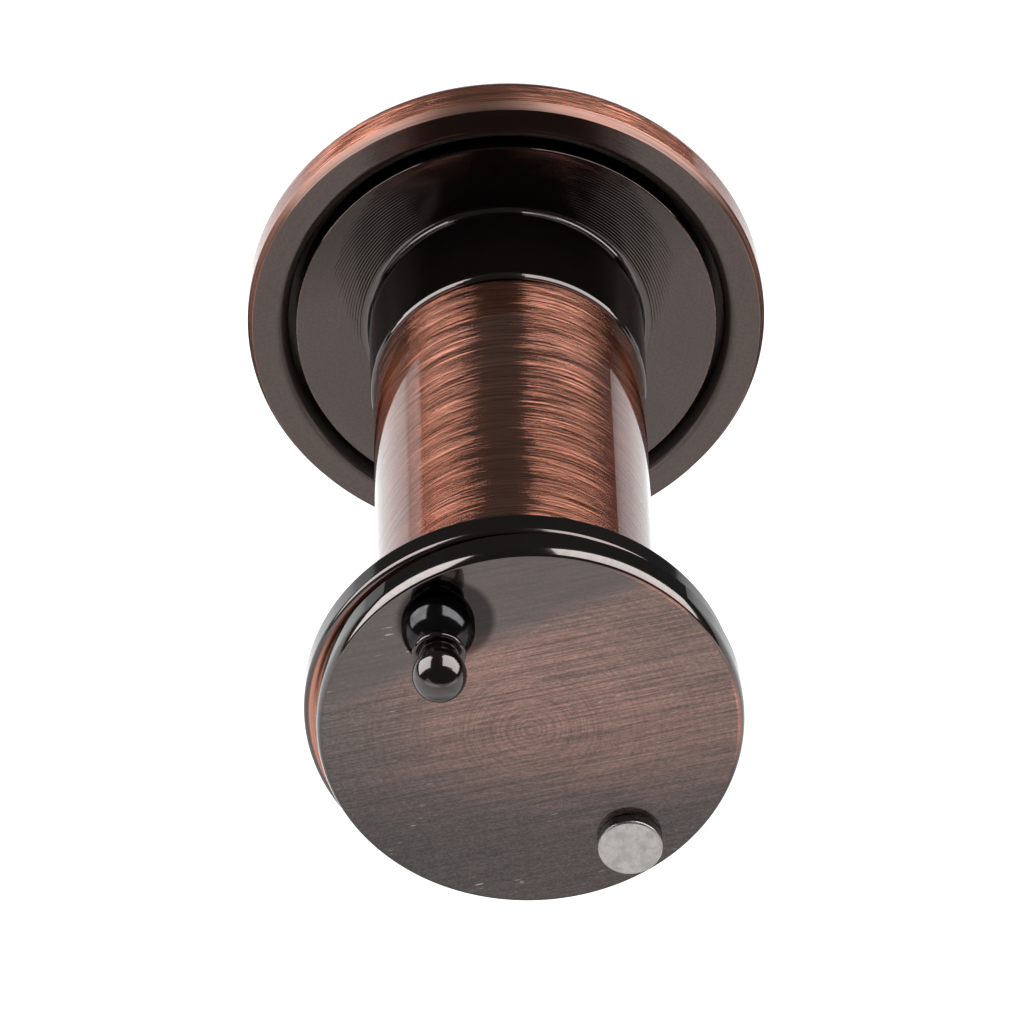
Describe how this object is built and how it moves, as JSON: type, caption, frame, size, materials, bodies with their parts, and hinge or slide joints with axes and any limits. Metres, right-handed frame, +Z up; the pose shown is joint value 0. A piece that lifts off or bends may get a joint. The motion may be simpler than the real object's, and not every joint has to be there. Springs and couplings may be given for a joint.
{
  "type": "door viewer",
  "caption": "Door viewer with a wide lens bezel, a threaded barrel screwed into a flanged sleeve, and a thick round cover with a ball knob that swings on a rivet.",
  "frame": {"origin": "on the viewer axis, in the plane of the street half's door seat", "axes": "+Y along the viewer axis towards the street, -Y towards the room, +Z up, +X to the right seen from the room"},
  "size_m": [0.05, 0.0872, 0.05],
  "materials": {
    "copper_lacquer": "brushed red copper under clear gloss lacquer",
    "dark_copper": "darkened copper, brushed back on the faces, gloss lacquer",
    "dark_bronze": "turned disc in dark bronze, gloss black neck",
    "brushed_bronze": "straight brushed antique bronze face, black gloss edge",
    "black_nickel": "polished black plating",
    "bright_steel": "bright steel",
    "bright_brass": "turned brass",
    "lens_glass": "polished clear lens",
    "black_plastic": "matte black",
    "black_rubber": "matte black"
  },
  "bodies": {
    "objective": {"outer_bezel": "copper_lacquer", "front_lens_seal": "black_rubber", "front_lens": "lens_glass", "objective_barrel": "dark_bronze", "lens_cell": "black_plastic", "second_lens": "lens_glass", "lens_spacer": "black_plastic", "third_lens": "lens_glass", "cell_retaining_ring": "black_plastic", "field_stop": "black_plastic"},
    "eyepiece_optics": {"eyepiece_spacer": "black_plastic", "eyepiece_lens": "lens_glass", "eyepiece_retaining_ring": "black_plastic"},
    "eyepiece_barrel": {"eyepiece_sleeve": "copper_lacquer", "eyepiece_flange": "dark_copper", "pivot_rivet": "bright_steel", "pivot_bush": "bright_brass", "wave_washer": "bright_steel", "thrust_washer": "bright_steel"},
    "cover": {"cover_plate": "brushed_bronze", "knob": "black_nickel", "knob_screw": "bright_steel"}
  },
  "joints": [
    {"name": "barrel_extend", "type": "slide", "parent": "objective", "child": "eyepiece_optics", "axis": [0, -1, 0], "range_m": [0, 0.03]},
    {"name": "sleeve_turn", "type": "hinge", "parent": "eyepiece_optics", "child": "eyepiece_barrel", "pos_m": [0, -0.0567, 0], "axis": [0, -1, 0], "range_deg": [0, 10800]},
    {"name": "cover_pivot", "type": "hinge", "parent": "eyepiece_barrel", "child": "cover", "pos_m": [0.00996, -0.0672, -0.01187], "axis": [0, -1, 0], "continuous": true}
  ],
  "couplings": [
    {"joint": "barrel_extend", "follows": "sleeve_turn", "m_per_rad": 0.00015915}
  ]
}
